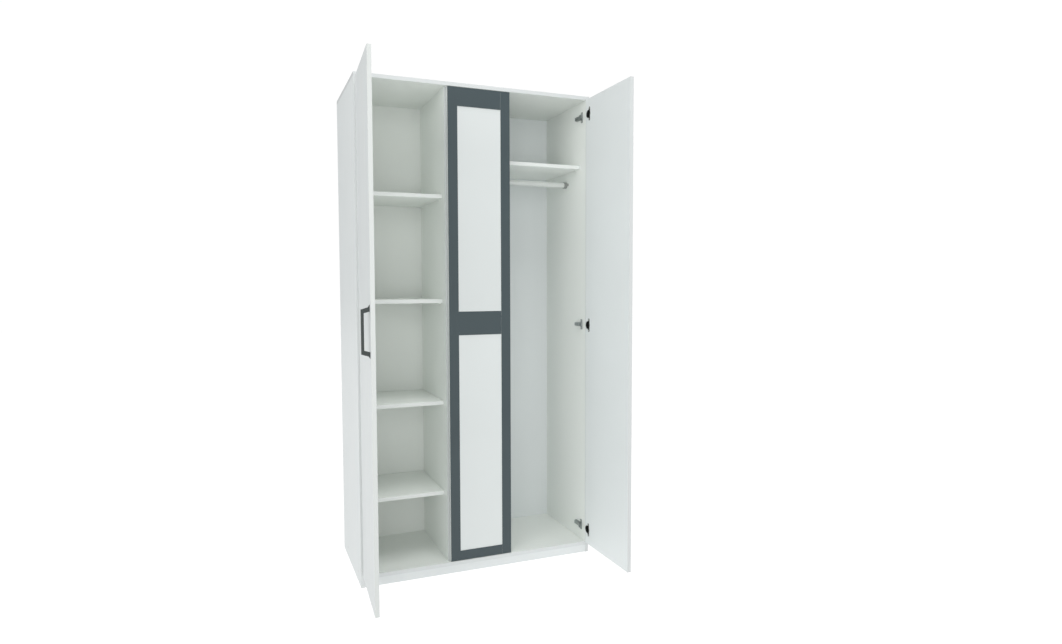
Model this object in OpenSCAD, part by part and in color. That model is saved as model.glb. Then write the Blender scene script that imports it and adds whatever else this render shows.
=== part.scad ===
// Three-door wardrobe on a low plinth. The doors sit between the side panels, flush with the front.
// Left bay: shelves behind the left door. Right bay: hat shelf and hanging rail behind the other two.
// Origin: middle of the front plinth's underside, on the floor. +X right, +Y to the back, +Z up.

/* [Carcass] */
// Width over the side panels
wardrobe_w = 1056; // [880:1:1270]
// Depth of the side panels, front edge to rear edge
wardrobe_d = 480; // [400:1:580]
// Height from the floor to the top panel's upper face
wardrobe_h = 2100; // [1960:1:2520]
// Thickness of the laminated boards
board_t = 16; // [15:1:19]
// Height of the plinth under the bottom panel
plinth_h = 34; // [30:1:80]
// Distance of the plinth's front face behind the front edges
plinth_setback = 2; // [0:1:40]
// Thickness of the back panels
back_t = 3; // [3:0.5:6]
// Distance of the back panels from the rear edges
back_inset = 52; // [12:1:80]
// Depth of the grooves that hold the back panels
groove_depth = 6; // [4:0.5:7]

/* [Doors] */
// Thickness of the doors
door_t = 16; // [16:1:19]
// Width of the middle door
middle_door_w = 280; // [230:1:340]
// Gap between neighbouring doors, and between doors and panels
door_gap = 2; // [2:0.5:3]
// Width of the middle door's stiles
stile_w = 43; // [36:1:60]
// Height of the middle door's top rail
top_rail_h = 79; // [50:1:110]
// Height of the middle door's middle rail
middle_rail_h = 102; // [60:1:140]
// Height of the middle door's bottom rail
bottom_rail_h = 43; // [36:1:90]
// Height of the middle rail's centre above the floor
middle_rail_z = 1087; // [900:1:1200]
// Thickness of the inset panels
inset_t = 8; // [6:1:10]
// Distance of the inset panels behind the door's outer face
inset_recess = 3; // [2:0.5:4]
// Opening angle of the left door in the pose that is drawn
left_door_open = 93; // [0:0.5:100]
// Opening angle of the right door in the pose that is drawn
right_door_open = 90.5; // [0:0.5:100]

/* [Shelves and rail] */
// Distance of the shelves' front edges behind the front edges of the carcass
shelf_setback = 61; // [30:1:90]
// Height of the lowest shelf's upper face above the floor
shelf_1_z = 349; // [250:1:450]
// Height of the second shelf's upper face above the floor
shelf_2_z = 747; // [600:1:850]
// Height of the third shelf's upper face above the floor
shelf_3_z = 1190; // [1130:1:1300]
// Height of the fourth shelf's upper face above the floor
shelf_4_z = 1639; // [1500:1:1750]
// Height of the hat shelf's upper face above the floor
hat_shelf_z = 1800; // [1700:1:1860]
// Diameter of the hanging rail
rail_d = 25; // [20:1:32]
// Distance of the rail's centre below the hat shelf
rail_drop = 55; // [45:1:90]
// Distance of the rail's centre behind the front edges
rail_setback = 202; // [150:1:250]

/* [Hinges and handles] */
// Diameter of the hinge cups
cup_d = 35; // [26:1:35]
// Distance of the end hinges' centres from the door's top and bottom
hinge_end_offset = 68; // [60:1:150]
// Length of the handle's grip
handle_grip = 160; // [96:1:200]
// Distance of the handle's outer face from the door
handle_standoff = 31; // [24:1:40]
// Height of the handle's centre above the floor
handle_z = 1085; // [900:1:1200]
// Distance of the handle's centre line from the door's free edge
handle_edge = 30; // [25:1:60]

/* [Hidden] */
// Every sub-part, one solid or one group of identical fasteners each
$fn = 48;

WHITE = [0.92, 0.93, 0.93];
GRAPHITE = [0.27, 0.31, 0.33];
STEEL = [0.72, 0.73, 0.74];

// Carcass planes
front_y = -plinth_setback - board_t / 2;
rear_y = front_y + wardrobe_d;
inner_w = wardrobe_w - 2 * board_t;
side_x = inner_w / 2;
side_top_z = wardrobe_h - board_t;
floor_z = plinth_h + board_t;
back_y = rear_y - back_inset - back_t;
behind_doors_y = front_y + door_t + door_gap;
// Room around a panel in its groove, and beside a shelf
fit = 0.1;
shelf_side_gap = 0.5;

// Doors, as they lie when closed
door_bottom_z = floor_z + door_gap;
door_top_z = side_top_z - door_gap;
door_h = door_top_z - door_bottom_z;
outer_door_w = (inner_w - middle_door_w - 4 * door_gap) / 2;
left_edge_x = -side_x + door_gap;
middle_edge_x = left_edge_x + outer_door_w + door_gap;
divider_x = middle_edge_x - door_gap / 2 - board_t / 2;
divider_right_x = divider_x + board_t;
hinge_levels = [
    door_bottom_z + hinge_end_offset, door_bottom_z + door_h / 2, door_top_z - hinge_end_offset
];

// Hinge, in plan: X from the door's hinge edge, Y from its outer face, door closed
// The outer doors turn about this line, outside their hinge edge and in front of their face
turn_line = [-13, -2];
outer_arm_x = 16;
middle_arm_x = 26;
arm_pin_y = door_t - 9.16;
arm_neck_y = door_t + 6;
arm_heel_y = door_t + 30;
arm_end_y = door_t + 68;
block_y = door_t + 14;
pin_r = 1.25;
running_gap = 0.05;
cheek_z = 5.4;
cheek_t = 1.8;
cup_wall = 0.5;
cup_bore_depth = 12.6;
cup_edge_gap = 3;
cup_x = cup_edge_gap + cup_d / 2;
flange_t = 1;
cup_screw_spread = 48;
cup_screw_x = cup_x + 9.5;
plate_y = door_t + 21;
plate_t = 3;
plate_screw_spread = 32;
block_t = 8;
arm_t = 5;

// Fasteners
screw_r = 1.75;
screw_head_r = 3.6;
screw_head_t = 1.6;
screw_depth = 11;
shelf_pin_r = 2.5;
shelf_pin_depth = 9;
shelf_pin_inset = 37;
confirmat_head_r = 5;
confirmat_r = 3.5;
confirmat_core_r = 2.5;
confirmat_len = 50;
confirmat_inset = 60;
head_h = 3;

module box(low, high) {
    translate(low) cube(high - low);
}

// Upright bar between two points in plan, of a given thickness, centred on z
module plan_bar(from, to, thick, tall) {
    run = to - from;
    translate([from[0], from[1], -tall / 2])
        rotate([0, 0, atan2(run[1], run[0])])
            translate([0, -thick / 2, 0]) cube([norm(run), thick, tall]);
}

module upright(r, tall, at = [0, 0]) {
    translate([at[0], at[1], -tall / 2]) cylinder(r = r, h = tall);
}

// Turns a door's closed shape to its opening angle, in its hinge frame
module opened(open) {
    translate([turn_line[0], turn_line[1], 0])
        rotate([0, 0, -open])
            translate([-turn_line[0], -turn_line[1], 0]) children();
}

// Hinge frames of the three doors: origin at the hinge edge on the front plane
module at_left_door() { translate([left_edge_x, front_y, 0]) children(); }
module at_middle_door() { translate([middle_edge_x, front_y, 0]) children(); }
module at_right_door() { mirror([1, 0, 0]) at_left_door() children(); }

// ---- Boards of the carcass ----

// Screw through a first board into the end of a second, pointing along -Z from the origin
module confirmat() {
    difference() {
        union() {
            translate([0, 0, -head_h]) cylinder(r = confirmat_head_r, h = head_h);
            translate([0, 0, -board_t]) cylinder(r = confirmat_r, h = board_t - head_h);
            translate([0, 0, -confirmat_len]) cylinder(r = confirmat_core_r, h = confirmat_len - board_t);
        }
        translate([0, 0, -2]) cylinder(r = 2.3, h = 3, $fn = 6);
    }
}

module confirmat_hole() {
    translate([0, 0, -head_h]) cylinder(r = confirmat_head_r, h = head_h + 1);
    translate([0, 0, -board_t - 1]) cylinder(r = confirmat_r, h = board_t + 1);
    translate([0, 0, -confirmat_len - 1]) cylinder(r = confirmat_core_r, h = confirmat_len);
}

// Places of the screws: down through the top, in through the sides, up through the bottom
module confirmat_places() {
    for (y = [behind_doors_y + confirmat_inset, back_y - confirmat_inset]) {
        for (x = [-side_x - board_t / 2, side_x + board_t / 2, divider_x + board_t / 2])
            translate([x, y, wardrobe_h]) children();
        for (side = [-1, 1])
            translate([side * wardrobe_w / 2, y, floor_z - board_t / 2])
                rotate([0, side * 90, 0]) children();
        translate([divider_x + board_t / 2, y, plinth_h]) rotate([180, 0, 0]) children();
    }
}

// Grooves around one bay for its back panel
module back_groove_cut(from_x, to_x) {
    box([from_x - groove_depth, back_y - fit, floor_z - groove_depth],
        [to_x + groove_depth, back_y + back_t + fit, side_top_z + groove_depth]);
}

// Holes for the shelf pins: two a side at each shelf, in both panels of a bay
module pin_places() {
    left_levels = [shelf_1_z, shelf_2_z, shelf_3_z, shelf_4_z];
    for (y = [front_y + shelf_setback + shelf_pin_inset, back_y - shelf_pin_inset]) {
        for (z = left_levels) {
            translate([-side_x, y, z - board_t]) children();
            translate([divider_x, y, z - board_t]) mirror([1, 0, 0]) children();
        }
        translate([divider_right_x, y, hat_shelf_z - board_t]) children();
        translate([side_x, y, hat_shelf_z - board_t]) mirror([1, 0, 0]) children();
    }
}

// One pin in its panel: a shank in the hole, a thin collar, and a thicker stub under the shelf
module shelf_pin() {
    stub_r = shelf_pin_r + 0.5;
    translate([-shelf_pin_depth, 0, -stub_r])
        rotate([0, 90, 0]) cylinder(r = shelf_pin_r, h = shelf_pin_depth + 1);
    translate([0, 0, -stub_r]) rotate([0, 90, 0]) cylinder(r = stub_r, h = 8);
}

module shelf_pin_hole() {
    translate([-shelf_pin_depth - 0.5, 0, -shelf_pin_r - 0.5])
        rotate([0, 90, 0]) cylinder(r = shelf_pin_r + running_gap, h = shelf_pin_depth + 1.5);
}

// Pilot holes for the screws of a mounting plate, in the panel at the hinge frame's left
module plate_screw_places(face_x) {
    for (z = hinge_levels)
        for (dz = [-plate_screw_spread / 2, plate_screw_spread / 2])
            translate([face_x, plate_y, z + dz]) children();
}

module pilot_hole() {
    translate([-screw_depth - 0.5, 0, 0]) rotate([0, 90, 0]) cylinder(r = screw_r, h = screw_depth + 1.5);
}

module panel_screw(head_x) {
    translate([-screw_depth, 0, 0]) rotate([0, 90, 0]) cylinder(r = screw_r, h = screw_depth + head_x);
    translate([head_x, 0, 0]) rotate([0, 90, 0])
        difference() {
            cylinder(r = screw_head_r, h = screw_head_t);
            for (a = [0, 90]) rotate([0, 0, a]) translate([-2, -0.4, screw_head_t - 0.8]) cube([4, 0.8, 1]);
        }
}

module bracket_screw_places() {
    for (dy = [-bracket_screw_dy, bracket_screw_dy]) {
        translate([divider_right_x, rail_y + dy, rail_z]) children();
        translate([side_x, rail_y + dy, rail_z]) mirror([1, 0, 0]) children();
    }
}

module side_panel() {
    box([-wardrobe_w / 2, front_y, 0], [-side_x, rear_y, side_top_z]);
}

module carcass_cuts() {
    back_groove_cut(-side_x, divider_x);
    back_groove_cut(divider_right_x, side_x);
    confirmat_places() confirmat_hole();
    pin_places() shelf_pin_hole();
    at_left_door() plate_screw_places(-door_gap) pilot_hole();
    at_right_door() plate_screw_places(-door_gap) pilot_hole();
    at_middle_door() plate_screw_places(divider_right_x - middle_edge_x) pilot_hole();
    bracket_screw_places() pilot_hole();
}

module left_side_panel() { color(WHITE) difference() { side_panel(); carcass_cuts(); } }
module right_side_panel() { color(WHITE) difference() { mirror([1, 0, 0]) side_panel(); carcass_cuts(); } }

module top_panel() {
    color(WHITE) difference() {
        box([-wardrobe_w / 2, front_y, side_top_z], [wardrobe_w / 2, rear_y, wardrobe_h]);
        carcass_cuts();
    }
}

module bottom_panel() {
    color(WHITE) difference() {
        box([-side_x, front_y, plinth_h], [side_x, rear_y, floor_z]);
        carcass_cuts();
    }
}

module divider_panel() {
    color(WHITE) difference() {
        box([divider_x, behind_doors_y, floor_z], [divider_right_x, rear_y, side_top_z]);
        carcass_cuts();
    }
}

module plinth(y) {
    color(WHITE) box([-side_x, y, 0], [side_x, y + board_t, plinth_h]);
}
module front_plinth() { plinth(front_y + plinth_setback); }
module rear_plinth() { plinth(rear_y - back_inset - board_t); }

module back_panel(from_x, to_x) {
    reach = groove_depth - fit;
    color(WHITE)
        box([from_x - reach, back_y, floor_z - reach], [to_x + reach, back_y + back_t, side_top_z + reach]);
}
module left_back_panel() { back_panel(-side_x, divider_x); }
module right_back_panel() { back_panel(divider_right_x, side_x); }

// ---- Shelves and hanging rail ----

module shelf(from_x, to_x, z) {
    color(WHITE)
        box([from_x + shelf_side_gap, front_y + shelf_setback, z - board_t],
            [to_x - shelf_side_gap, back_y - 1, z]);
}
module left_bay_shelf(z) { shelf(-side_x, divider_x, z); }
module hat_shelf() { shelf(divider_right_x, side_x, hat_shelf_z); }

rail_z = hat_shelf_z - board_t - rail_drop;
rail_y = front_y + rail_setback;
rail_wall = 1.2;
bracket_t = 3;
bracket_lip = 12;
bracket_wall = 2.4;
bracket_flange_w = 12;
bracket_screw_dy = rail_d / 2 + 8;

// Tube along X that ends in the two brackets
module hanging_rail() {
    color(STEEL) translate([divider_right_x + bracket_t, rail_y, rail_z]) rotate([0, 90, 0]) difference() {
        cylinder(r = rail_d / 2, h = side_x - divider_right_x - 2 * bracket_t);
        translate([0, 0, -1]) cylinder(r = rail_d / 2 - rail_wall, h = side_x);
    }
}

// Socket screwed to the panel at its left: a round cup on a narrow flange, level with the rail
module rail_bracket() {
    socket_r = rail_d / 2 + running_gap;
    color(STEEL) rotate([0, 90, 0]) difference() {
        union() {
            cylinder(r = socket_r + bracket_wall, h = bracket_t + bracket_lip);
            translate([-bracket_flange_w / 2, -bracket_screw_dy - 6, 0])
                cube([bracket_flange_w, 2 * bracket_screw_dy + 12, bracket_t]);
        }
        translate([0, 0, bracket_t]) cylinder(r = socket_r, h = bracket_lip + 1);
        for (dy = [-bracket_screw_dy, bracket_screw_dy])
            translate([0, dy, -1]) cylinder(r = screw_r, h = bracket_t + 2);
    }
}
module left_rail_bracket() { translate([divider_right_x, rail_y, rail_z]) rail_bracket(); }
module right_rail_bracket() { translate([side_x, rail_y, rail_z]) mirror([1, 0, 0]) rail_bracket(); }

// ---- Doors, closed, in their hinge frames ----

module cup_bores() {
    for (z = hinge_levels) {
        translate([cup_x, door_t - cup_bore_depth, z])
            rotate([-90, 0, 0]) cylinder(r = cup_d / 2, h = cup_bore_depth + 1);
        for (dz = [-cup_screw_spread / 2, cup_screw_spread / 2])
            translate([cup_screw_x, door_t - screw_depth, z + dz])
                rotate([-90, 0, 0]) cylinder(r = screw_r, h = screw_depth + 1);
    }
}

handle_x = outer_door_w - handle_edge;
handle_holes = handle_grip + 8;
handle_screw_r = 2;

module handle_bores() {
    for (dz = [-handle_holes / 2, handle_holes / 2])
        translate([handle_x, -1, handle_z + dz])
            rotate([-90, 0, 0]) cylinder(r = handle_screw_r, h = door_t + 2);
}

module outer_door() {
    color(WHITE) difference() {
        box([0, 0, door_bottom_z], [outer_door_w, door_t, door_top_z]);
        cup_bores();
    }
}
module left_door_panel() {
    at_left_door() opened(left_door_open) difference() {
        outer_door();
        handle_bores();
    }
}
module right_door_panel() { at_right_door() opened(right_door_open) outer_door(); }

// Groove in the frame of the middle door that holds the inset panels
inset_hold = 9;
middle_rail_low = middle_rail_z - middle_rail_h / 2;
middle_rail_high = middle_rail_z + middle_rail_h / 2;

module inset_space(low_z, high_z, hold, gap) {
    box([stile_w - hold, inset_recess - gap, low_z - hold],
        [middle_door_w - stile_w + hold, inset_recess + inset_t + gap, high_z + hold]);
}
module inset_spaces() {
    inset_space(door_bottom_z + bottom_rail_h, middle_rail_low, inset_hold + fit, fit);
    inset_space(middle_rail_high, door_top_z - top_rail_h, inset_hold + fit, fit);
}
module frame_piece(low_x, high_x, low_z, high_z) {
    color(GRAPHITE) at_middle_door() difference() {
        box([low_x, 0, low_z], [high_x, door_t, high_z]);
        inset_spaces();
        cup_bores();
    }
}
module middle_door_left_stile() { frame_piece(0, stile_w, door_bottom_z, door_top_z); }
module middle_door_right_stile() {
    frame_piece(middle_door_w - stile_w, middle_door_w, door_bottom_z, door_top_z);
}
module frame_rail(low_z, high_z) { frame_piece(stile_w, middle_door_w - stile_w, low_z, high_z); }
module middle_door_top_rail() { frame_rail(door_top_z - top_rail_h, door_top_z); }
module middle_door_middle_rail() { frame_rail(middle_rail_low, middle_rail_high); }
module middle_door_bottom_rail() { frame_rail(door_bottom_z, door_bottom_z + bottom_rail_h); }
module inset_panel(low_z, high_z) {
    color(WHITE) at_middle_door() difference() {
        inset_space(low_z, high_z, inset_hold, 0);
        cup_bores();
    }
}
module middle_door_upper_inset() { inset_panel(middle_rail_high, door_top_z - top_rail_h); }
module middle_door_lower_inset() { inset_panel(door_bottom_z + bottom_rail_h, middle_rail_low); }

// ---- Handles ----

grip_t = 10;
grip_w = 12;
foot_spread = 12;
foot_flare = 5;

// Side outline of the handle: a bar on two legs that lean out to flared feet
module handle_outline() {
    half = handle_grip / 2;
    reach = handle_standoff;
    difference() {
        polygon([
            [-half, reach], [half, reach], [half + 8, 5], [half + foot_spread + foot_flare, 0],
            [-half - foot_spread - foot_flare, 0], [-half - 8, 5]
        ]);
        polygon([
            [-half + 13, reach - grip_t], [half - 13, reach - grip_t], [half - 7, -1], [-half + 7, -1]
        ]);
    }
}
module door_handle() {
    color(GRAPHITE) difference() {
        translate([handle_x + grip_w / 2, 0, handle_z]) rotate([0, -90, 0])
            linear_extrude(grip_w) scale([1, -1]) handle_outline();
        for (dz = [-handle_holes / 2, handle_holes / 2])
            translate([handle_x, -handle_screw_bite, handle_z + dz])
                rotate([-90, 0, 0]) cylinder(r = handle_screw_r, h = handle_screw_bite + 1);
    }
}
module left_door_handle() { at_left_door() opened(left_door_open) door_handle(); }

handle_screw_bite = 8;
handle_head_r = 4;
handle_head_t = 2;
module handle_screws() {
    color(STEEL) for (dz = [-handle_holes / 2, handle_holes / 2])
        translate([handle_x, 0, handle_z + dz]) rotate([-90, 0, 0]) {
            translate([0, 0, -handle_screw_bite])
                cylinder(r = handle_screw_r, h = handle_screw_bite + door_t);
            translate([0, 0, door_t]) cylinder(r = handle_head_r, h = handle_head_t);
        }
}
module left_handle_screws() { at_left_door() opened(left_door_open) handle_screws(); }

// ---- Hinges, door closed, in the hinge frame ----

// Pressed cup with a flange and two screw ears
module hinge_cup(z) {
    ear_r = 6;
    color(STEEL) translate([0, 0, z])
        difference() {
            union() {
                translate([cup_x, door_t - cup_bore_depth, 0]) rotate([-90, 0, 0])
                    cylinder(r = cup_d / 2, h = cup_bore_depth + flange_t);
                for (side = [-1, 1])
                    translate([cup_screw_x, door_t, side * cup_screw_spread / 2])
                        rotate([-90, 0, 0]) cylinder(r = ear_r, h = flange_t);
                box([cup_screw_x - ear_r, door_t, -cup_screw_spread / 2],
                    [cup_screw_x + ear_r, door_t + flange_t, cup_screw_spread / 2]);
            }
            translate([cup_x, door_t - cup_bore_depth + cup_wall, 0]) rotate([-90, 0, 0])
                cylinder(r = cup_d / 2 - cup_wall, h = cup_bore_depth + flange_t);
            for (side = [-1, 1])
                translate([cup_screw_x, door_t - 1, side * cup_screw_spread / 2])
                    rotate([-90, 0, 0]) cylinder(r = screw_r, h = flange_t + 2);
        }
}

// Fixed arm: a body on the mounting block, a slanted neck, and two cheeks that reach into the cup
module hinge_arm(face_x, pin_x, z) {
    body_h = 2 * (cheek_z + cheek_t);
    arm_pin = [pin_x, arm_pin_y];
    eye_r = 2.2;
    low_x = face_x + block_t;
    half_neck = arm_t / 2;
    color(STEEL) translate([0, 0, z]) {
        for (side = [-1, 1]) translate([0, 0, side * (cheek_z + cheek_t / 2)]) {
            upright(eye_r, cheek_t, arm_pin);
            plan_bar(arm_pin, [pin_x, arm_neck_y], 3.6, cheek_t);
        }
        upright(pin_r, body_h - 0.4, arm_pin);
        translate([0, 0, -body_h / 2]) linear_extrude(body_h) polygon([
            [pin_x - half_neck, arm_neck_y - half_neck], [pin_x + half_neck, arm_neck_y - half_neck],
            [pin_x + half_neck, arm_neck_y], [low_x + arm_t, arm_heel_y],
            [low_x + arm_t, arm_end_y], [low_x, arm_end_y],
            [low_x, arm_heel_y], [pin_x - half_neck, arm_neck_y]
        ]);
    }
}

// Cross-shaped plate with the block that the arm sits on
module mounting_plate(face_x, z) {
    wing_z = plate_screw_spread / 2 + 7;
    translate([0, 0, z]) difference() {
        union() {
            box([face_x, block_y, -8.5], [face_x + block_t, arm_end_y, 8.5]);
            box([face_x, plate_y - 6.5, -wing_z], [face_x + plate_t, plate_y + 6.5, wing_z]);
        }
        for (dz = [-plate_screw_spread / 2, plate_screw_spread / 2])
            translate([face_x - 1, plate_y, dz]) rotate([0, 90, 0]) cylinder(r = screw_r, h = plate_t + 2);
    }
}
middle_face_x = divider_right_x - middle_edge_x;
module hinge_mounting_plates() {
    color(STEEL) for (z = hinge_levels) {
        at_left_door() mounting_plate(-door_gap, z);
        at_right_door() mounting_plate(-door_gap, z);
        at_middle_door() mounting_plate(middle_face_x, z);
    }
}

module cup_screws() {
    color(STEEL) for (z = hinge_levels)
        for (dz = [-cup_screw_spread / 2, cup_screw_spread / 2])
            translate([cup_screw_x, door_t, z + dz]) rotate([0, 0, 90]) panel_screw(flange_t);
}
module left_door_cup_screws() { at_left_door() opened(left_door_open) cup_screws(); }
module middle_door_cup_screws() { at_middle_door() cup_screws(); }
module right_door_cup_screws() { at_right_door() opened(right_door_open) cup_screws(); }

// Screws of the mounting plates and of the rail brackets
module mounting_screws() {
    color(STEEL) {
        at_left_door() plate_screw_places(-door_gap) panel_screw(plate_t);
        at_right_door() plate_screw_places(-door_gap) panel_screw(plate_t);
        at_middle_door() plate_screw_places(middle_face_x) panel_screw(plate_t);
        bracket_screw_places() panel_screw(bracket_t);
    }
}
module shelf_pins() { color(STEEL) pin_places() shelf_pin(); }
module confirmat_screws() { color(STEEL) confirmat_places() confirmat(); }

left_side_panel();
right_side_panel();
top_panel();
bottom_panel();
front_plinth();
rear_plinth();
divider_panel();
left_back_panel();
right_back_panel();
left_bay_shelf(shelf_1_z);  // left_bay_shelf_1
left_bay_shelf(shelf_2_z);  // left_bay_shelf_2
left_bay_shelf(shelf_3_z);  // left_bay_shelf_3
left_bay_shelf(shelf_4_z);  // left_bay_shelf_4
hat_shelf();
hanging_rail();
left_rail_bracket();
right_rail_bracket();
left_door_panel();
right_door_panel();
middle_door_left_stile();
middle_door_right_stile();
middle_door_top_rail();
middle_door_middle_rail();
middle_door_bottom_rail();
middle_door_upper_inset();
middle_door_lower_inset();
left_door_handle();
LEVEL_NAMES = ["bottom", "middle", "top"];
for (i = [0:2]) {
    at_left_door() opened(left_door_open) hinge_cup(hinge_levels[i]);
    at_middle_door() hinge_cup(hinge_levels[i]);
    at_right_door() opened(right_door_open) hinge_cup(hinge_levels[i]);
    at_left_door() hinge_arm(-door_gap, outer_arm_x, hinge_levels[i]);
    at_middle_door() hinge_arm(middle_face_x, middle_arm_x, hinge_levels[i]);
    at_right_door() hinge_arm(-door_gap, outer_arm_x, hinge_levels[i]);
}
hinge_mounting_plates();
left_door_cup_screws();
middle_door_cup_screws();
right_door_cup_screws();
left_handle_screws();
mounting_screws();
shelf_pins();
confirmat_screws();
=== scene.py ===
"""Looks of the three-door wardrobe: laminate, edge bands, hinges, handles, soft light and the camera."""

import math

import bpy
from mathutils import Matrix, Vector


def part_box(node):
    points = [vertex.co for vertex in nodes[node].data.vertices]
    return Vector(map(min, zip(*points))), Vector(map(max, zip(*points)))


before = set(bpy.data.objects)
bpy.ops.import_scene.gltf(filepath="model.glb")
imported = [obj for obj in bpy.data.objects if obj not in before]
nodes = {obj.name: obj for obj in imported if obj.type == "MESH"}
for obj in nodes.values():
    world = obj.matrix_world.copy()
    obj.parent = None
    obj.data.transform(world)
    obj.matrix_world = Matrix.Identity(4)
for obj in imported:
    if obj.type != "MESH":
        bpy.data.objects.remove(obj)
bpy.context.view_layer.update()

# ---- Colours, linear RGB ----

COOL_WHITE = (0.79, 0.83, 0.83)
# The inside white is painted light and shade: a brighter, warmer copy of the same laminate for faces
# inside the carcass.
INSIDE_PAINTED_LIGHT_WHITE = (0.88, 0.915, 0.88)
# Edge band colours, darker than the faces beside them, are painted shade on the board edges.
OUTER_BAND_PAINTED_SHADE = (0.66, 0.69, 0.69)
LEFT_DOOR_BAND_PAINTED_SHADE = (0.64, 0.67, 0.655)
SHADED_BAND = (0.53, 0.56, 0.555)
SHELF_BAND_PAINTED_SHADE = (0.735, 0.765, 0.745)
# A painted highlight: the graphite frame's edge faces coloured near white, as its reveals look when lit.
REVEAL_PAINTED_HIGHLIGHT = (0.80, 0.83, 0.82)
INSET_WHITE = (0.705, 0.741, 0.735)
GRAPHITE = (0.057, 0.079, 0.087)
HANDLE_GREY = (0.023, 0.032, 0.031)
NICKEL = (0.38, 0.41, 0.41)
# The hinge cups' nickel is darkened to near black: painted shade and dark reflection.
CUP_NICKEL_PAINTED_SHADE = (0.02, 0.023, 0.022)
RAIL_GREY = (0.71, 0.74, 0.72)
BRACKET_GREY = (0.30, 0.32, 0.305)
ZINC = (0.62, 0.62, 0.60)

# ---- Light levels ----

SKY = 0.34
BACKDROP = 1.02
FLOOR_GLOW = 0.98
FLOOR_LIGHT = 0.85
FRONT_POWER = 76.0
LEFT_POWER = 110.0
TOP_POWER = 95.0

# The space inside the carcass, whose inner faces get a painted light-and-shade tint: half of its clear
# width, the plane of the front edges, and small allowances
INNER_HALF_WIDTH = (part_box("right_side_panel")[0][0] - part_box("left_side_panel")[1][0]) / 2
FRONT_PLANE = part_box("left_side_panel")[0][1]
SIDE_MARGIN = 0.0005
FRONT_MARGIN = 0.001

# Texture scales, per metre, and the cosine past which a face counts as an edge band
CLOUD_SCALE = 2.2
GLOSS_SCALE = 14.0
PEARL_SCALE = 650.0
SPECK_SCALE = 1400.0
BAND_COSINE = 0.5


# ---- Node helpers ----


def new_material(name):
    """An empty node material, its node tree and its shader."""
    material = bpy.data.materials.new(name)
    material.use_nodes = True
    tree = material.node_tree
    shader = tree.nodes["Principled BSDF"]
    return material, tree, shader


def add(tree, kind, operation=None, **inputs):
    """Adds a node and sets or links its inputs, given as i0, i1 ... or by name."""
    node = tree.nodes.new(kind)
    if operation is not None:
        node.operation = operation
    for key, value in inputs.items():
        socket = node.inputs[int(key[1:])] if key[0] == "i" and key[1:].isdigit() else node.inputs[key]
        if isinstance(value, bpy.types.NodeSocket):
            tree.links.new(value, socket)
        else:
            socket.default_value = value
    return node


def noise(tree, vector, scale, detail=3.0, roughness=0.55):
    node = add(tree, "ShaderNodeTexNoise", Vector=vector, Scale=scale, Detail=detail, Roughness=roughness)
    return node.outputs["Fac"]


def mix_colour(tree, factor, low, high):
    node = tree.nodes.new("ShaderNodeMix")
    node.data_type = "RGBA"
    for socket, value in ((0, factor), (6, low), (7, high)):
        if isinstance(value, bpy.types.NodeSocket):
            tree.links.new(value, node.inputs[socket])
        elif socket == 0:
            node.inputs[0].default_value = value
        else:
            node.inputs[socket].default_value = (*value, 1.0)
    return node.outputs[2]


def spread(tree, value, low, high):
    """Maps a noise's middle range to low ... high."""
    node = add(tree, "ShaderNodeMapRange", Value=value)
    node.inputs["From Min"].default_value = 0.3
    node.inputs["From Max"].default_value = 0.7
    node.inputs["To Min"].default_value = low
    node.inputs["To Max"].default_value = high
    return node.outputs[0]


def bump(tree, shader, height, strength, distance):
    node = add(tree, "ShaderNodeBump", Height=height, Strength=strength, Distance=distance)
    tree.links.new(node.outputs[0], shader.inputs["Normal"])


def shaded(colour, factor):
    return tuple(channel * factor for channel in colour)


# ---- Materials ----


def laminate(name, colour, face_axis=None, inside_painted_light=None, grain=0.012, roughness=0.42, band=OUTER_BAND_PAINTED_SHADE):
    """Melamine board: pearl texture, faint clouding, given an inside colour a painted light-and-shade tint
    on faces inside the carcass, and edge bands on faces turned from face_axis, whose band colour is
    painted shade on the white boards and a painted highlight on the graphite frame.
    """
    material, tree, shader = new_material(name)
    coords = add(tree, "ShaderNodeTexCoord")
    place = coords.outputs["Object"]
    clouds = noise(tree, place, CLOUD_SCALE, 2.0)
    drift = spread(tree, clouds, 0.0, 1.0)
    surface = mix_colour(tree, drift, shaded(colour, 1 - grain), shaded(colour, 1 + grain))
    # Painted light and shade: faces inside the carcass take a brighter, warmer copy of the laminate
    # colour.
    if inside_painted_light is not None:
        split = add(tree, "ShaderNodeSeparateXYZ", Vector=place)
        sideways = add(tree, "ShaderNodeMath", "ABSOLUTE", i0=split.outputs[0])
        side_limit = INNER_HALF_WIDTH + SIDE_MARGIN
        front_limit = FRONT_PLANE + FRONT_MARGIN
        within = add(tree, "ShaderNodeMath", "LESS_THAN", i0=sideways.outputs[0], i1=side_limit)
        behind = add(tree, "ShaderNodeMath", "GREATER_THAN", i0=split.outputs[1], i1=front_limit)
        inside = add(tree, "ShaderNodeMath", "MULTIPLY", i0=within.outputs[0], i1=behind.outputs[0])
        surface = mix_colour(tree, inside.outputs[0], surface, inside_painted_light)
    if face_axis is not None:
        along = add(tree, "ShaderNodeVectorMath", "DOT_PRODUCT", i0=coords.outputs["Normal"], i1=face_axis)
        flat = add(tree, "ShaderNodeMath", "ABSOLUTE", i0=along.outputs["Value"])
        edge = add(tree, "ShaderNodeMath", "LESS_THAN", i0=flat.outputs[0], i1=BAND_COSINE)
        surface = mix_colour(tree, edge.outputs[0], surface, band)
    tree.links.new(surface, shader.inputs["Base Color"])
    pearl = noise(tree, place, PEARL_SCALE, 3.0, 0.6)
    gloss = spread(tree, noise(tree, place, GLOSS_SCALE), roughness - 0.03, roughness + 0.05)
    tree.links.new(gloss, shader.inputs["Roughness"])
    bump(tree, shader, pearl, 0.12, 0.0002)
    shader.inputs["Specular IOR Level"].default_value = 0.4
    return material


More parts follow.
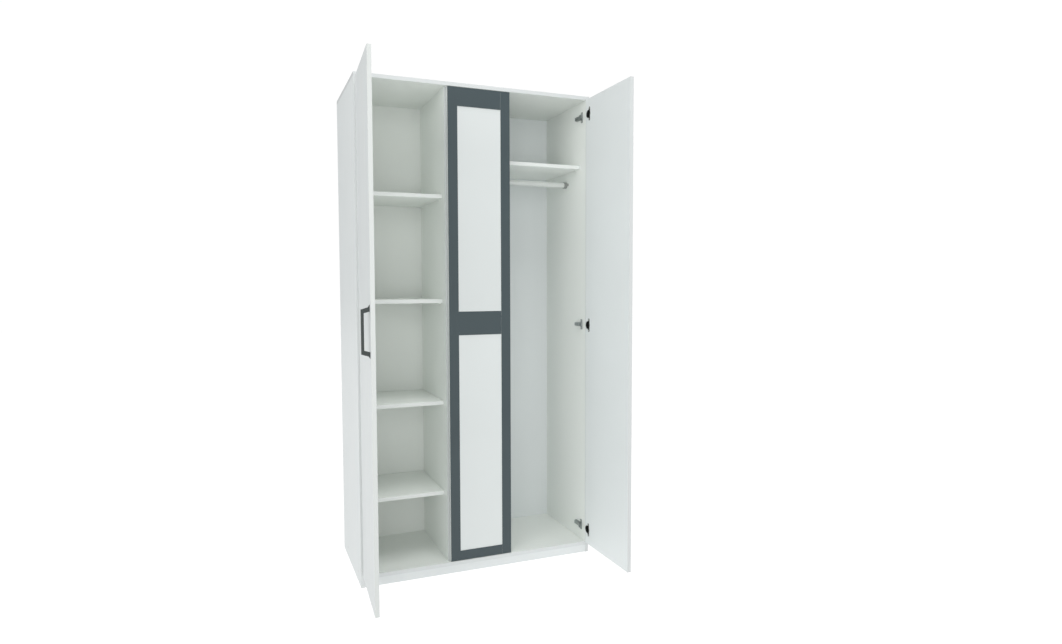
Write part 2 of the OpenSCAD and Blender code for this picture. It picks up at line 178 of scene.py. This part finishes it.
def metal(name, colour, roughness, metallic=1.0, streak=(90.0, 90.0, 900.0)):
    """Brushed or plated metal: fine streaks along one direction in colour, gloss and relief."""
    material, tree, shader = new_material(name)
    coords = add(tree, "ShaderNodeTexCoord")
    stretched = add(tree, "ShaderNodeMapping", Vector=coords.outputs["Object"], Scale=streak)
    lines = noise(tree, stretched.outputs[0], 3.0, 4.0, 0.6)
    tint = mix_colour(tree, spread(tree, lines, 0.0, 1.0), shaded(colour, 0.88), shaded(colour, 1.08))
    tree.links.new(tint, shader.inputs["Base Color"])
    tree.links.new(spread(tree, lines, roughness - 0.05, roughness + 0.07), shader.inputs["Roughness"])
    shader.inputs["Metallic"].default_value = metallic
    bump(tree, shader, lines, 0.08, 0.0002)
    return material


def moulded(name, colour, roughness=0.5):
    """Moulded plastic or paint with a fine spark-eroded texture."""
    material, tree, shader = new_material(name)
    coords = add(tree, "ShaderNodeTexCoord")
    specks = noise(tree, coords.outputs["Object"], SPECK_SCALE, 2.0)
    tint = mix_colour(tree, spread(tree, specks, 0.0, 1.0), shaded(colour, 0.92), shaded(colour, 1.08))
    tree.links.new(tint, shader.inputs["Base Color"])
    tree.links.new(spread(tree, specks, roughness - 0.04, roughness + 0.06), shader.inputs["Roughness"])
    bump(tree, shader, specks, 0.15, 0.0001)
    return material


def paint(names, material):
    for name in names:
        slots = nodes[name].material_slots
        for slot in slots:
            slot.material = material


X_AXIS = (1.0, 0.0, 0.0)
Y_AXIS = (0.0, 1.0, 0.0)
Z_AXIS = (0.0, 0.0, 1.0)
SHELVES = ["left_bay_shelf_%d" % number for number in range(1, 5)]
FRAME_UPRIGHTS = ["middle_door_left_stile", "middle_door_right_stile"]
FRAME_RAILS = ["middle_door_top_rail", "middle_door_middle_rail", "middle_door_bottom_rail"]
DOORS = ["left_door_panel", "right_door_panel"]
HANDLES = ["left_door_handle"]
CUPS = [name for name in nodes if name.endswith("_hinge_cup")]
ARMS = [name for name in nodes if name.endswith("_hinge_arm")]
SCREWS = [name for name in nodes if name.endswith("_screws")]

# Inner faces take the painted light-and-shade inside white; the divider's and the hat shelf's are lighter
# copies as painted light, the bottom panel's a darker copy as painted shade.
paint(["left_side_panel"], laminate("left_side_laminate", COOL_WHITE, X_AXIS, INSIDE_PAINTED_LIGHT_WHITE))
paint(["right_side_panel"], laminate("right_side_laminate", COOL_WHITE, X_AXIS, INSIDE_PAINTED_LIGHT_WHITE))
paint(["divider_panel"],
      laminate("divider_laminate", COOL_WHITE, X_AXIS, shaded(INSIDE_PAINTED_LIGHT_WHITE, 1.015), band=SHADED_BAND))
paint(["top_panel"], laminate("top_laminate", COOL_WHITE, Z_AXIS, INSIDE_PAINTED_LIGHT_WHITE))
paint(["bottom_panel"], laminate("bottom_laminate", COOL_WHITE, Z_AXIS, shaded(INSIDE_PAINTED_LIGHT_WHITE, 0.96)))
paint(SHELVES, laminate("shelf_laminate", INSIDE_PAINTED_LIGHT_WHITE, Z_AXIS, band=SHELF_BAND_PAINTED_SHADE))
paint(["hat_shelf"], laminate("hat_shelf_laminate", shaded(INSIDE_PAINTED_LIGHT_WHITE, 1.07), Z_AXIS, band=SHELF_BAND_PAINTED_SHADE))
# Painted shade: the plinths and the left door are darker copies of the outer white.
paint(["front_plinth", "rear_plinth"], laminate("plinth_laminate", shaded(COOL_WHITE, 0.93)))
paint(["left_door_panel"],
      laminate("left_door_laminate", shaded(COOL_WHITE, 0.96), X_AXIS, band=LEFT_DOOR_BAND_PAINTED_SHADE))
paint(["right_door_panel"], laminate("right_door_laminate", COOL_WHITE, X_AXIS))
# Painted shade: both back boards are darker copies of the laminate whites, the left one more, for the
# deeper shade of the left bay.
paint(["left_back_panel"], laminate("left_back_board", shaded(INSIDE_PAINTED_LIGHT_WHITE, 0.90), roughness=0.6))
paint(["right_back_panel"], laminate("right_back_board", shaded(COOL_WHITE, 0.96), roughness=0.6))
# Painted light and shade: the upper inset is a darker copy and the lower inset a lighter copy of the inset
# white, evening out the top light.
paint(["middle_door_upper_inset"], laminate("upper_inset_laminate", shaded(INSET_WHITE, 0.965)))
paint(["middle_door_lower_inset"], laminate("lower_inset_laminate", shaded(INSET_WHITE, 1.01)))
# The frame's edge faces take the painted highlight of lit reveals.
paint(FRAME_UPRIGHTS + FRAME_RAILS,
      laminate("graphite_laminate", GRAPHITE, Y_AXIS, grain=0.05, roughness=0.46, band=REVEAL_PAINTED_HIGHLIGHT))
paint(HANDLES, moulded("graphite_paint", HANDLE_GREY, 0.42))
# Hinge cups in nickel darkened to near black as painted shade and dark reflection.
paint(CUPS, metal("dark_nickel", CUP_NICKEL_PAINTED_SHADE, 0.4, 0.3))
paint(ARMS + ["hinge_mounting_plates"], metal("nickel", NICKEL, 0.3))
paint(["hanging_rail"], metal("rail_paint", RAIL_GREY, 0.35, 0.0, (900.0, 60.0, 60.0)))
paint(["left_rail_bracket", "right_rail_bracket"], moulded("bracket_plastic", BRACKET_GREY))
paint(SCREWS, metal("zinc", ZINC, 0.35))
paint(["shelf_pins"], moulded("pin_plastic", INSIDE_PAINTED_LIGHT_WHITE, 0.4))


# ---- Softened edges ----


def soften(names, width, segments=2):
    """Rounds the edges of a CAD node's look without touching its mesh."""
    for name in names:
        piece = nodes[name]
        weld = piece.modifiers.new("weld", "WELD")
        weld.merge_threshold = 0.00001
        round_off = piece.modifiers.new("round_off", "BEVEL")
        round_off.width = width
        round_off.segments = segments
        round_off.limit_method = "ANGLE"
        round_off.angle_limit = math.radians(50)


CARCASS = ["left_side_panel", "right_side_panel", "top_panel", "bottom_panel", "divider_panel"]
PLINTHS = ["front_plinth", "rear_plinth"]
BOARD_EDGE = 0.0006
HANDLE_EDGE = 0.0022
soften(CARCASS + PLINTHS + SHELVES + ["hat_shelf"] + DOORS + FRAME_UPRIGHTS + FRAME_RAILS, BOARD_EDGE)
soften(HANDLES, HANDLE_EDGE, 3)


# ---- Stage ----


def make_floor(glow, light, size=40.0):
    """A plain pale floor that looks as bright as glow to the camera and lights the wardrobe by light."""
    mesh = bpy.data.meshes.new("floor")
    half = size / 2
    corners = [(-half, -half, 0.0), (half, -half, 0.0), (half, half, 0.0), (-half, half, 0.0)]
    mesh.from_pydata(corners, [], [(0, 1, 2, 3)])
    floor = bpy.data.objects.new("floor", mesh)
    bpy.context.scene.collection.objects.link(floor)
    material, tree, shader = new_material("pale_floor")
    coords = add(tree, "ShaderNodeTexCoord")
    clouds = noise(tree, coords.outputs["Object"], 3.0)
    tint = mix_colour(tree, clouds, (0.145, 0.145, 0.145), (0.155, 0.155, 0.155))
    tree.links.new(tint, shader.inputs["Base Color"])
    shader.inputs["Roughness"].default_value = 0.9
    shader.inputs["Specular IOR Level"].default_value = 0.1
    shader.inputs["Emission Color"].default_value = (1.0, 1.0, 1.0, 1.0)
    seen = tree.nodes.new("ShaderNodeLightPath").outputs["Is Camera Ray"]
    level = add(tree, "ShaderNodeMapRange", Value=seen)
    level.inputs["To Min"].default_value = light
    level.inputs["To Max"].default_value = glow
    tree.links.new(level.outputs[0], shader.inputs["Emission Strength"])
    mesh.materials.append(material)


def make_light(name, place, target, size, power):
    """A large soft area light that looks at a target."""
    light = bpy.data.lights.new(name, "AREA")
    light.shape = "RECTANGLE"
    light.size, light.size_y = size
    light.energy = power
    holder = bpy.data.objects.new(name, light)
    holder.location = place
    holder.rotation_euler = (holder.location - Vector(target)).to_track_quat("Z", "Y").to_euler()
    bpy.context.scene.collection.objects.link(holder)


def make_world(strength):
    """An even white studio, brighter to the camera than to the wardrobe."""
    world = bpy.data.worlds.new("studio")
    world.use_nodes = True
    tree = world.node_tree
    sky = tree.nodes["Background"]
    sky.inputs["Color"].default_value = (1.0, 1.0, 1.0, 1.0)
    sky.inputs["Strength"].default_value = strength
    backdrop = add(tree, "ShaderNodeBackground", Color=(1.0, 1.0, 1.0, 1.0), Strength=BACKDROP)
    seen = tree.nodes.new("ShaderNodeLightPath").outputs["Is Camera Ray"]
    blend = add(tree, "ShaderNodeMixShader", i0=seen, i1=sky.outputs[0], i2=backdrop.outputs[0])
    tree.links.new(blend.outputs[0], tree.nodes["World Output"].inputs["Surface"])
    bpy.context.scene.world = world


def make_camera():
    """The viewpoint: at the left, a little above the middle, turned towards the wardrobe."""
    lens = bpy.data.cameras.new("camera")
    lens.sensor_width = 36.0
    lens.lens = 23.196
    lens.shift_x = 0.0218
    lens.shift_y = 0.0026
    camera = bpy.data.objects.new("camera", lens)
    camera.location = (-0.9719, -2.8077, 1.2465)
    camera.rotation_euler = (math.radians(86.756), math.radians(0.230), math.radians(-21.475))
    bpy.context.scene.collection.objects.link(camera)
    bpy.context.scene.camera = camera


CENTRE = (0.0, 0.1, 1.0)
make_floor(FLOOR_GLOW, FLOOR_LIGHT)
make_world(SKY)
make_light("front_soft", (-1.2, -5.2, 1.6), CENTRE, (3.5, 3.5), FRONT_POWER)
make_light("left_soft", (-5.0, -3.0, 3.0), CENTRE, (3.0, 3.0), LEFT_POWER)
make_light("top_soft", (0.0, -1.5, 5.5), CENTRE, (3.0, 3.0), TOP_POWER)
make_camera()
bpy.context.scene.view_settings.view_transform = "Standard"
